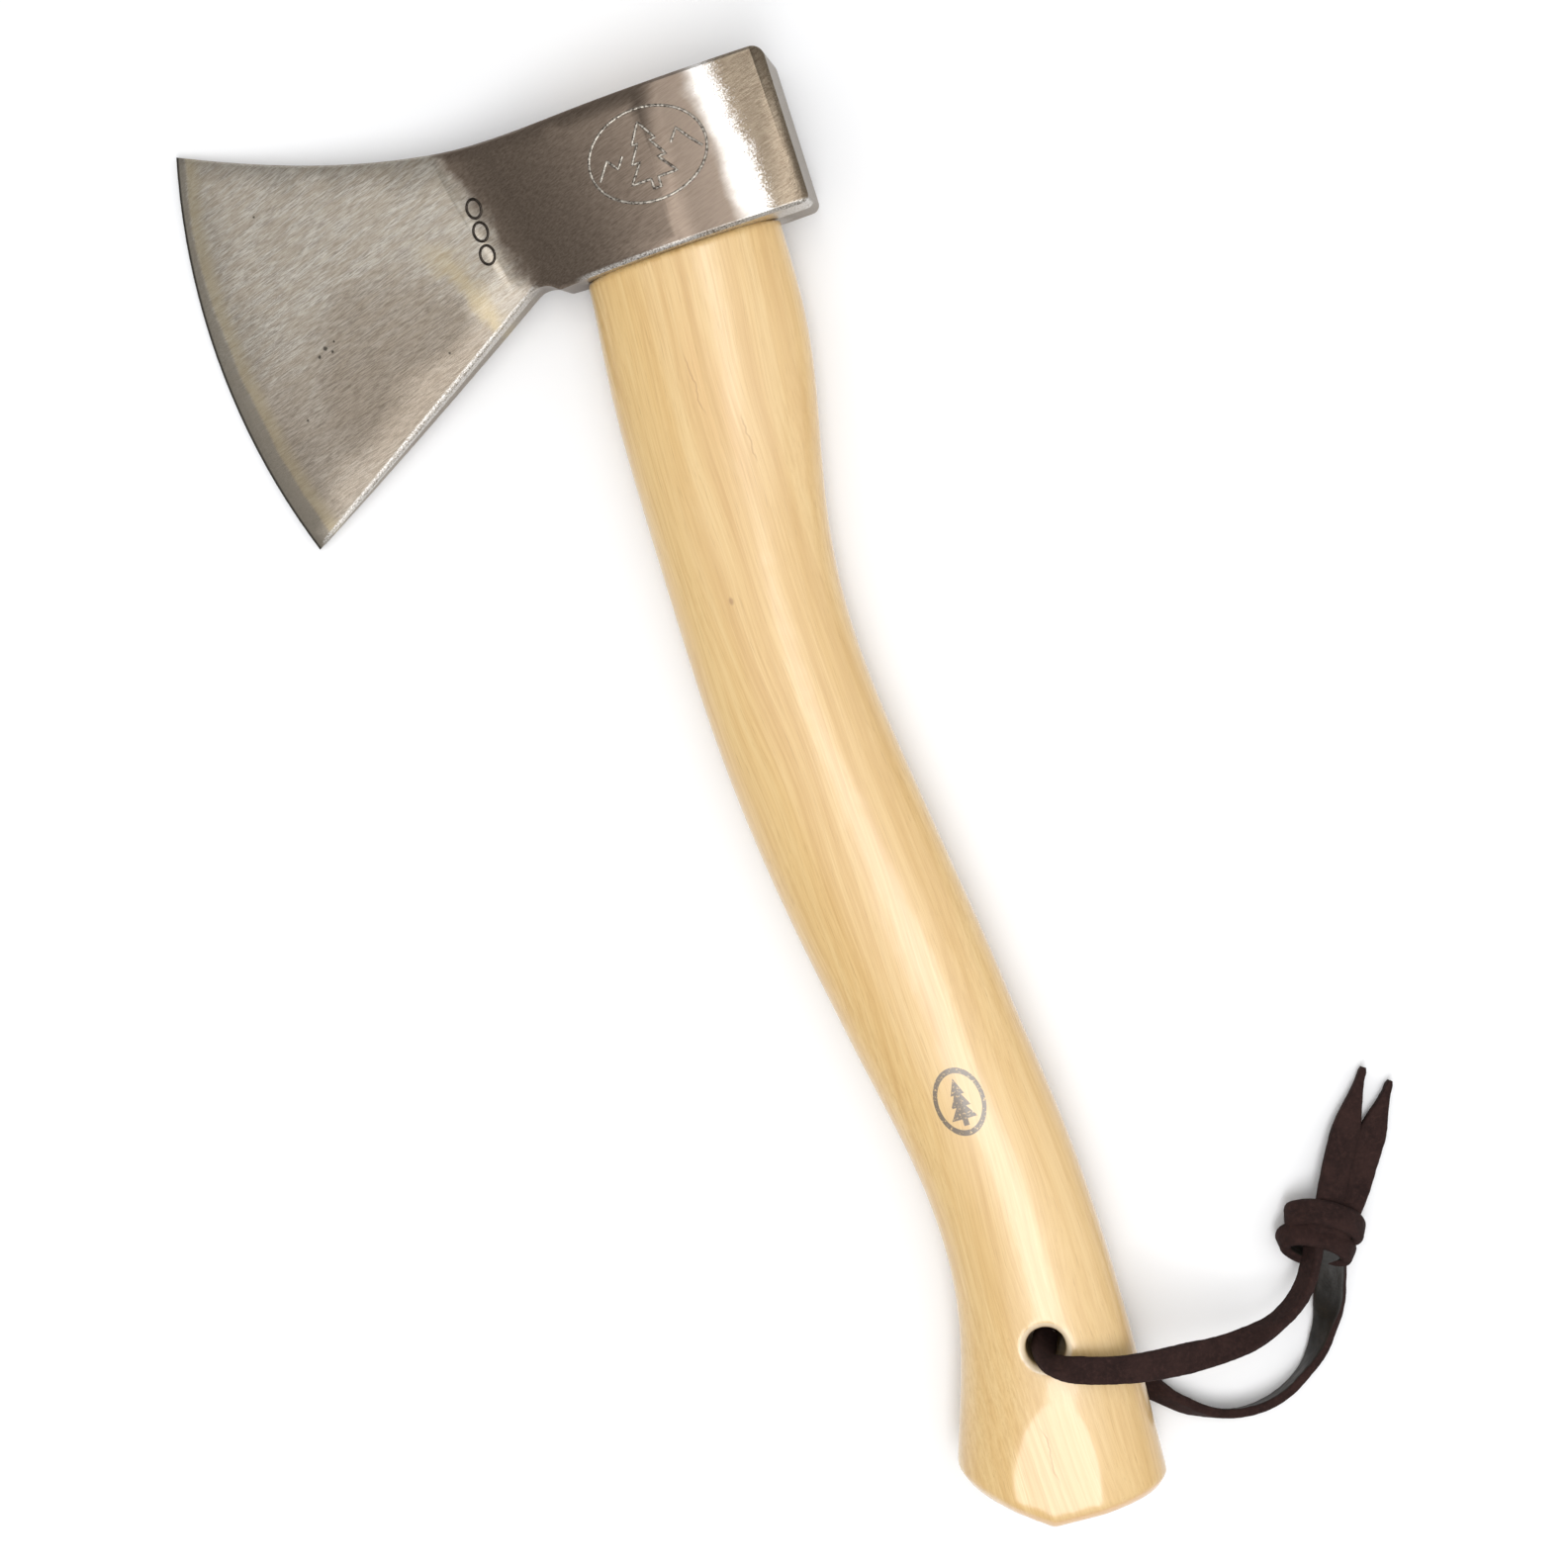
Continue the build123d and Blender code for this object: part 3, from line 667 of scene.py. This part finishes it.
    # Pits in the blade
    pits = []
    for pitX, pitY, size in head["pits"]:
        near = timesPlus(tree, speckle, 0.6, distance(tree, flat, (pitX, pitY, 0.0)))
        pits.append(fade(tree, near, size * 0.6 + 0.25, size + 0.45, 1.0, 0.0))
    pitDepth = times(tree, most(tree, pits), fade(tree, z, 0.0, 1.0))
    colour = blend(tree, times(tree, pitDepth, 0.85), colour, head["pit"])
    plug(tree, shader.inputs["Base Color"], colour)
    plug(tree, shader.inputs["Metallic"], 1.0)
    rough = timesPlus(tree, blade, 0.08, 0.36)
    rough = timesPlus(tree, minus(tree, streaks, 0.5), 0.30, rough)
    plug(tree, shader.inputs["Roughness"], timesPlus(tree, polishAndHighlightBand, -0.10, rough))
    scratched = bump(tree, streaks, timesPlus(tree, blade, 0.20, 0.10), 0.0003)
    grainy = bump(tree, times(tree, speckle, fade(tree, leaning, 18.0, 26.0)), 0.25, 0.0003, scratched)
    plug(tree, shader.inputs["Normal"], bump(tree, pitDepth, -0.8, 0.0004, grainy))
    return material


def lineMaterial(name, tones):
    # Lines of a mark: dark, and brighter where they are worn
    material, tree, shader = newMaterial(name)
    patchy = noiseOf(tree, toolSpace(tree), 1.4, 3.0, 0.6)
    plug(tree, shader.inputs["Base Color"], ramp(tree, patchy, tones))
    plug(tree, shader.inputs["Metallic"], 1.0)
    plug(tree, shader.inputs["Roughness"], timesPlus(tree, patchy, 0.3, 0.25))
    return material


def fromTool(x, y, z):
    # Millimetres along the tool's axes to a place in the scene
    turn = Matrix.Rotation(-tool["roll"], 3, "Y")
    return Vector(tool["middle"]) + turn @ (Vector((x, y, z)) / 1000)


def lineTree():
    # Turns outlines into thin round lines
    tree, given = newGeometryTree("markLines", ["Radius"])
    outline = add(tree, "GeometryNodeMeshToCurve", {"Mesh": given["Geometry"]}).outputs[0]
    circle = {"Resolution": 8, "Radius": given["Radius"]}
    section = add(tree, "GeometryNodeCurvePrimitiveCircle", circle).outputs[0]
    return finishTree(tree, sweep(tree, outline, section), given["Material"])


# Marks on the cheek, all generic: a ring with a conifer and two hills, and three plain rings. Outlines are in
# millimetres, the lines' radius and how far they are sunk in metres.
marks = {
    "middle": (1.0, 3.0), "ring": (14.2, 10.6), "step": 0.8, "lineRadius": 0.00040, "sunk": 0.00018,
    "conifer": [
        (0, 7.6), (2.9, 3.0), (1.5, 3.0), (4.2, -1.2), (2.2, -1.2), (5.6, -5.6), (0.9, -5.6), (0.9, -7.9),
        (-0.9, -7.9), (-0.9, -5.6), (-5.6, -5.6), (-2.2, -1.2), (-4.2, -1.2), (-1.5, 3.0), (-2.9, 3.0),
    ],
    "hills": [
        [(-12.6, -2.4), (-9.6, 1.6), (-7.6, -1.0), (-5.8, 1.4)],
        [(6.0, 0.8), (8.2, 3.6), (10.4, 0.6), (12.9, -2.2)],
    ],
    "punches": [(-43.6, 5.9), (-43.8, 0.3), (-44.0, -5.3)], "punch": (1.75, 2.25),
    "stampTones": [(0.38, (0.07, 0.058, 0.048)), (0.62, (0.55, 0.51, 0.45))],
    "punchTones": [(0.38, (0.020, 0.017, 0.014)), (0.62, (0.06, 0.05, 0.042))],
}


def ellipse(u, v, halfWidth, halfHeight, count):
    turns = [math.tau * k / count for k in range(count)]
    return [(u + halfWidth * math.cos(turn), v + halfHeight * math.sin(turn)) for turn in turns]


def stepped(outline, closed):
    # The same outline in short steps
    fine = []
    for (u0, v0), (u1, v1) in list(zip(outline, outline[1:])) + ([(outline[-1], outline[0])] if closed else []):
        count = max(1, round(math.hypot(u1 - u0, v1 - v0) / marks["step"]))
        fine.extend((u0 + (u1 - u0) * k / count, v0 + (v1 - v0) * k / count) for k in range(count))
    return fine if closed else fine + [outline[-1]]


def mergedCopy(name, label):
    # A copy of a CAD node with its loose triangles joined
    copy = nodes[name].copy()
    copy.data = nodes[name].data.copy()
    copy.name = label
    copy.data.materials.clear()
    bpy.context.scene.collection.objects.link(copy)
    surface = bmesh.new()
    surface.from_mesh(copy.data)
    bmesh.ops.remove_doubles(surface, verts=surface.verts, dist=0.000001)
    surface.to_mesh(copy.data)
    surface.free()
    return copy


def finishHead():
    # The head with its marks as fine lines laid on the upper cheek
    steel = mergedCopy("axe_head", "headSteel")
    steel.data.materials.append(steelMaterial())
    steel.data.set_sharp_from_angle(angle=math.radians(24))
    search = BVHTree.FromPolygons([v.co for v in steel.data.vertices], [p.vertices for p in steel.data.polygons])
    down = fromTool(0, 0, -1) - fromTool(0, 0, 0)

    def onCheek(u, v):
        hit = search.ray_cast(fromTool(u, v, 60), down)
        return hit[0] - hit[1].normalized() * marks["sunk"]

    middleX, middleY = marks["middle"]
    stamp = [(True, ellipse(middleX, middleY, *marks["ring"], 96))]
    stamp.append((True, [(middleX + u, middleY + v) for u, v in marks["conifer"]]))
    stamp.extend((False, [(middleX + u, middleY + v) for u, v in hill]) for hill in marks["hills"])
    punches = [(True, ellipse(u, v, *marks["punch"], 24)) for u, v in marks["punches"]]
    tree = lineTree()
    lines = []
    for label, outlines in (("stamp", stamp), ("punch", punches)):
        places, edges = [], []
        for closed, outline in outlines:
            fine = stepped(outline, closed)
            first = len(places)
            places.extend(onCheek(u, v) for u, v in fine)
            edges.extend((first + k, first + k + 1) for k in range(len(fine) - 1))
            if closed:
                edges.append((len(places) - 1, first))
        mesh = bpy.data.meshes.new(label + "Outlines")
        mesh.from_pydata(places, edges, [])
        values = {"Radius": marks["lineRadius"], "Material": lineMaterial(label + "Line", marks[label + "Tones"])}
        lines.append(evaluated(label + "Lines", mesh, tree, values))
    piece = joined("headSteel", [steel, *lines])
    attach(piece, "root")
    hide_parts("axe_head")


finishHead()
print("head finished")

# Handle. Places are in millimetres along the tool's axes, the skin's grid in metres.
handle = {
    "skin": 0.00078, "relax": 3,
    "hole": (4.1, -296.5, 0.0), "streakMiddle": (-3.0, -55.0, 0.0), "fleck": (-13.0, -101.1, 0.0),
    "inkMiddle": (2.4, -232.3, 0.0), "inkRadius": (6.2, 8.6, 1.0),
    # Each crack's place across and along, and half its length
    "cracks": [(-2.6, -322.0, 8.5), (-5.5, -50.0, 9.0), (3.0, -66.0, 7.0)],
    "rings": [
        (0.30, (0.612, 0.387, 0.144)), (0.46, (0.700, 0.476, 0.200)), (0.60, (0.726, 0.514, 0.232)),
        (0.78, (0.639, 0.416, 0.164)),
    ],
    "fibreDark": (0.542, 0.315, 0.104, 1), "fibrePale": (0.770, 0.586, 0.304, 1), "pore": (0.455, 0.268, 0.096, 1),
    "pale": (0.761, 0.552, 0.296, 1), "streak": (0.682, 0.399, 0.152, 1), "cut": (0.66, 0.37, 0.13, 1),
    "holeChamferPaleAndHighlight": (0.74, 0.63, 0.47, 1), "inside": (0.16, 0.095, 0.045, 1), "crack": (0.45, 0.25, 0.09, 1),
    "spot": (0.36, 0.20, 0.08, 1), "ink": (0.075, 0.060, 0.050, 1),
}


def woodMaterial():
    material, tree, shader = newMaterial("lacqueredHickory")
    place = toolSpace(tree)
    x, y, z = add(tree, "ShaderNodeSeparateXYZ", {0: place}).outputs[:3]
    upperSide = fade(tree, z, 2.0, 4.0)

    def noiseAlong(vector, factors, detail, rough):
        return noiseOf(tree, stretch(tree, vector, factors), 1.0, detail, rough)

    # Grain runs along the handle, and wanders a little
    drift = times(tree, noiseAlong(place, (0.02, 0.006, 0.02), 2.0, 0.5), 26.0)
    bent = add(tree, "ShaderNodeCombineXYZ", {0: calc(tree, "ADD", x, drift), 1: y, 2: z}).outputs[0]
    rings = noiseAlong(bent, (0.22, 0.004, 0.10), 3.0, 0.55)
    fibres = noiseAlong(bent, (1.5, 0.020, 1.5), 5.0, 0.68)
    pores = noiseAlong(bent, (4.0, 0.09, 4.0), 3.0, 0.6)
    broad = noiseAlong(place, (0.045, 0.010, 0.045), 2.0, 0.5)
    wood = ramp(tree, rings, handle["rings"])
    wood = blend(tree, fade(tree, fibres, 0.40, 0.70, 0.0, 0.55), wood, handle["fibreDark"])
    wood = blend(tree, fade(tree, fibres, 0.44, 0.26, 0.0, 0.35), wood, handle["fibrePale"])
    wood = blend(tree, fade(tree, pores, 0.57, 0.74, 0.0, 0.65), wood, handle["pore"])
    wood = blend(tree, fade(tree, broad, 0.40, 0.72, 0.0, 0.35), wood, handle["pale"])
    # A reddish streak under the head
    fromStreak = stretch(tree, vec(tree, "SUBTRACT", place, handle["streakMiddle"]), (0.16, 0.030, 0.0))
    fromStreak = vec(tree, "LENGTH", fromStreak, out=1)
    streak = times(tree, fade(tree, fromStreak, 0.2, 1.0, 0.5, 0.0), fade(tree, rings, 0.35, 0.6))
    wood = blend(tree, streak, wood, handle["streak"])
    # The cut end is darker, the chamfer round the hole bare pale wood with a painted highlight on it, and the hole
    # itself painted dark as shade
    endGrain = add(tree, "ShaderNodeAttribute", attribute_name="endGrain").outputs["Fac"]
    wood = blend(tree, fade(tree, endGrain, 0.30, 0.65, 0.0, 0.7), wood, handle["cut"])
    fromHole = distance(tree, fromAbove(tree, place), handle["hole"])
    holeChamferPaleAndHighlight = fade(tree, calc(tree, "ABSOLUTE", minus(tree, fromHole, 5.7)), 0.35, 0.95, 0.75, 0.0)
    wood = blend(tree, holeChamferPaleAndHighlight, wood, handle["holeChamferPaleAndHighlight"])
    # Painted shade filling the hole
    wood = blend(tree, fade(tree, fromHole, 4.7, 5.1, 0.8, 0.0), wood, handle["inside"])
    # Hairline cracks, one fleck and a faint round ink mark
    wobble = times(tree, minus(tree, noiseAlong(place, (0.02, 0.25, 0.02), 2.0, 0.5), 0.5), 2.4)
    cracks = []
    for crackX, crackY, half in handle["cracks"]:
        aside = calc(tree, "ABSOLUTE", calc(tree, "ADD", minus(tree, x, crackX), wobble))
        past = calc(tree, "ABSOLUTE", minus(tree, y, crackY))
        ends = fade(tree, past, half * 0.5, half, 1.0, 0.0)
        cracks.append(times(tree, fade(tree, aside, 0.08, 0.30, 1.0, 0.0), ends))
    dark = times(tree, most(tree, cracks), upperSide)
    wood = blend(tree, times(tree, dark, 0.6), wood, handle["crack"])
    spot = stretch(tree, vec(tree, "SUBTRACT", place, handle["fleck"]), (1.0, 0.6, 0.0))
    spot = fade(tree, vec(tree, "LENGTH", spot, out=1), 0.25, 0.8, 0.7, 0.0)
    wood = blend(tree, times(tree, spot, upperSide), wood, handle["spot"])
    inkPlace = vec(tree, "SUBTRACT", fromAbove(tree, place), handle["inkMiddle"])
    inkPlace = vec(tree, "DIVIDE", inkPlace, handle["inkRadius"])
    printed = useGroup(tree, coniferMark, Place=inkPlace, Line=0.075).outputs["Fill"]
    worn = fade(tree, noiseOf(tree, place, 1.6, 3.0, 0.6), 0.26, 0.46)
    printed = times(tree, times(tree, printed, worn), upperSide)
    wood = blend(tree, times(tree, printed, 0.88), wood, handle["ink"])
    plug(tree, shader.inputs["Base Color"], wood)
    plug(tree, shader.inputs["Roughness"], timesPlus(tree, fibres, 0.2, 0.33))
    plug(tree, shader.inputs["Coat Weight"], 1.0)
    plug(tree, shader.inputs["Coat Roughness"], timesPlus(tree, fibres, 0.14, 0.12))
    grainBump = bump(tree, fibres, 0.30, 0.0002)
    cuts = most(tree, [dark, times(tree, pores, 0.4)])
    plug(tree, shader.inputs["Normal"], bump(tree, cuts, -0.25, 0.0002, grainBump))
    return material


def finishHandle():
    # The handle as one fine even skin, so that its flats run softly into its rounds
    source = mergedCopy("handle", "handleSource")
    remesh = source.modifiers.new("evenSkin", "REMESH")
    remesh.mode = "VOXEL"
    remesh.voxel_size = handle["skin"]
    remesh.use_smooth_shade = True
    relax = source.modifiers.new("softEdges", "CORRECTIVE_SMOOTH")
    relax.iterations = handle["relax"]
    relax.use_only_smooth = True
    piece = frozen(source, "handleWood")
    piece.data.materials.append(woodMaterial())
    # How squarely each point faces the knob's end
    away = fromTool(0, -1000, 0) - fromTool(0, 0, 0)
    endGrain = piece.data.attributes.new("endGrain", "FLOAT", "POINT")
    endGrain.data.foreach_set("value", [vertex.normal.dot(away) for vertex in piece.data.vertices])
    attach(piece, "root")
    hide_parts("handle")


finishHandle()
print("handle finished")

# Wedges, seen in the top of the eye
wedges = {
    "layers": [(0.32, (0.27, 0.145, 0.060)), (0.52, (0.44, 0.265, 0.120)), (0.72, (0.34, 0.190, 0.080))],
    "pore": (0.12, 0.062, 0.028, 1),
    "scale": [(0.35, (0.115, 0.105, 0.098)), (0.65, (0.30, 0.285, 0.265))], "dent": (0.46, 0.44, 0.41, 1),
}


def wedgeWood():
    material, tree, shader = newMaterial("wedgeWood")
    place = toolSpace(tree)
    layers = noiseOf(tree, stretch(tree, place, (0.12, 0.05, 2.2)), 1.0, 4.0, 0.6)
    pores = cellsOf(tree, place, 2.4)
    brown = ramp(tree, layers, wedges["layers"])
    brown = blend(tree, fade(tree, pores, 0.05, 0.22, 0.5, 0.0), brown, wedges["pore"])
    plug(tree, shader.inputs["Base Color"], brown)
    plug(tree, shader.inputs["Roughness"], timesPlus(tree, layers, 0.2, 0.55))
    plug(tree, shader.inputs["Normal"], bump(tree, pores, 0.3, 0.0003))
    return material


def wedgeSteel():
    # Hammered ends: dark scale with small bright dents
    material, tree, shader = newMaterial("wedgeSteel")
    place = toolSpace(tree)
    dents = cellsOf(tree, place, 0.9)
    scale = noiseOf(tree, place, 1.1, 4.0, 0.65)
    metal = ramp(tree, scale, wedges["scale"])
    metal = blend(tree, fade(tree, dents, 0.15, 0.45, 0.5, 0.0), metal, wedges["dent"])
    plug(tree, shader.inputs["Base Color"], metal)
    plug(tree, shader.inputs["Metallic"], 1.0)
    plug(tree, shader.inputs["Roughness"], timesPlus(tree, scale, 0.35, 0.26))
    plug(tree, shader.inputs["Normal"], bump(tree, dents, 0.5, 0.0004))
    return material


def coat(material, *names):
    for name in names:
        nodes[name].data.materials.clear()
        nodes[name].data.materials.append(material)


coat(wedgeWood(), "kerf_wedge")
coat(wedgeSteel(), "steel_wedge_front", "steel_wedge_rear")
print("wedges finished")

# Table, lights and world
studio = {
    "tableColour": (0.90, 0.91, 0.93, 1), "tableReach": 1.6, "tableTop": -0.0003,
    "worldColour": (0.97, 0.955, 0.93, 1), "worldStrength": 0.50,
    # Name, place, target, the way its long side runs, short and long side, power and colour
    "lights": [
        ("headStrip", (-0.02, 0.31, 1.1), (0.06, 0.15, 0.03), (0.24, 0.97, 0.0), 0.16, 0.40, 1.0, (1, 1, 1)),
        ("handleStrip", (-0.05, -0.36, 1.1), (0.04, -0.12, 0.02), (0.50, 0.86, 0.0), 0.34, 0.80, 4.9, (1, 1, 1)),
        ("ceiling", (0.0, 0.0, 1.3), (0.0, 0.0, 0.0), (0.0, 1.0, 0.0), 1.7, 1.7, 8, (1, 1, 1)),
        ("sideFill", (1.2, -0.3, 0.9), (0.04, 0, 0), (0.0, 1.0, 0.0), 0.8, 1.2, 2, (1, 0.97, 0.93)),
    ],
}


def addTable():
    mesh = bpy.data.meshes.new("table")
    reach = studio["tableReach"]
    corners = [(-reach, -reach), (reach, -reach), (reach, reach), (-reach, reach)]
    mesh.from_pydata([(x, y, studio["tableTop"]) for x, y in corners], [], [(0, 1, 2, 3)])
    table = bpy.data.objects.new("table", mesh)
    material, tree, shader = newMaterial("paleTable")
    plug(tree, shader.inputs["Base Color"], studio["tableColour"])
    plug(tree, shader.inputs["Roughness"], 0.8)
    mesh.materials.append(material)
    bpy.context.scene.collection.objects.link(table)


def addLight(name, place, target, along, short, long, power, colour):
    # An area light that faces its target
    data = bpy.data.lights.new(name, "AREA")
    data.shape = "RECTANGLE"
    data.size = short
    data.size_y = long
    data.energy = power
    data.color = colour
    light = bpy.data.objects.new(name, data)
    back = (Vector(place) - Vector(target)).normalized()
    side = Vector(along).cross(back).normalized()
    turn = Matrix((side, back.cross(side), back)).transposed().to_4x4()
    light.matrix_world = Matrix.Translation(place) @ turn
    bpy.context.scene.collection.objects.link(light)


addTable()
for light in studio["lights"]:
    addLight(*light)
world = bpy.data.worlds.new("studioWorld")
world.use_nodes = True
background = world.node_tree.nodes["Background"]
background.inputs[0].default_value = studio["worldColour"]
background.inputs[1].default_value = studio["worldStrength"]
bpy.context.scene.world = world
bpy.context.scene.view_settings.view_transform = "Standard"
print("studio ready")
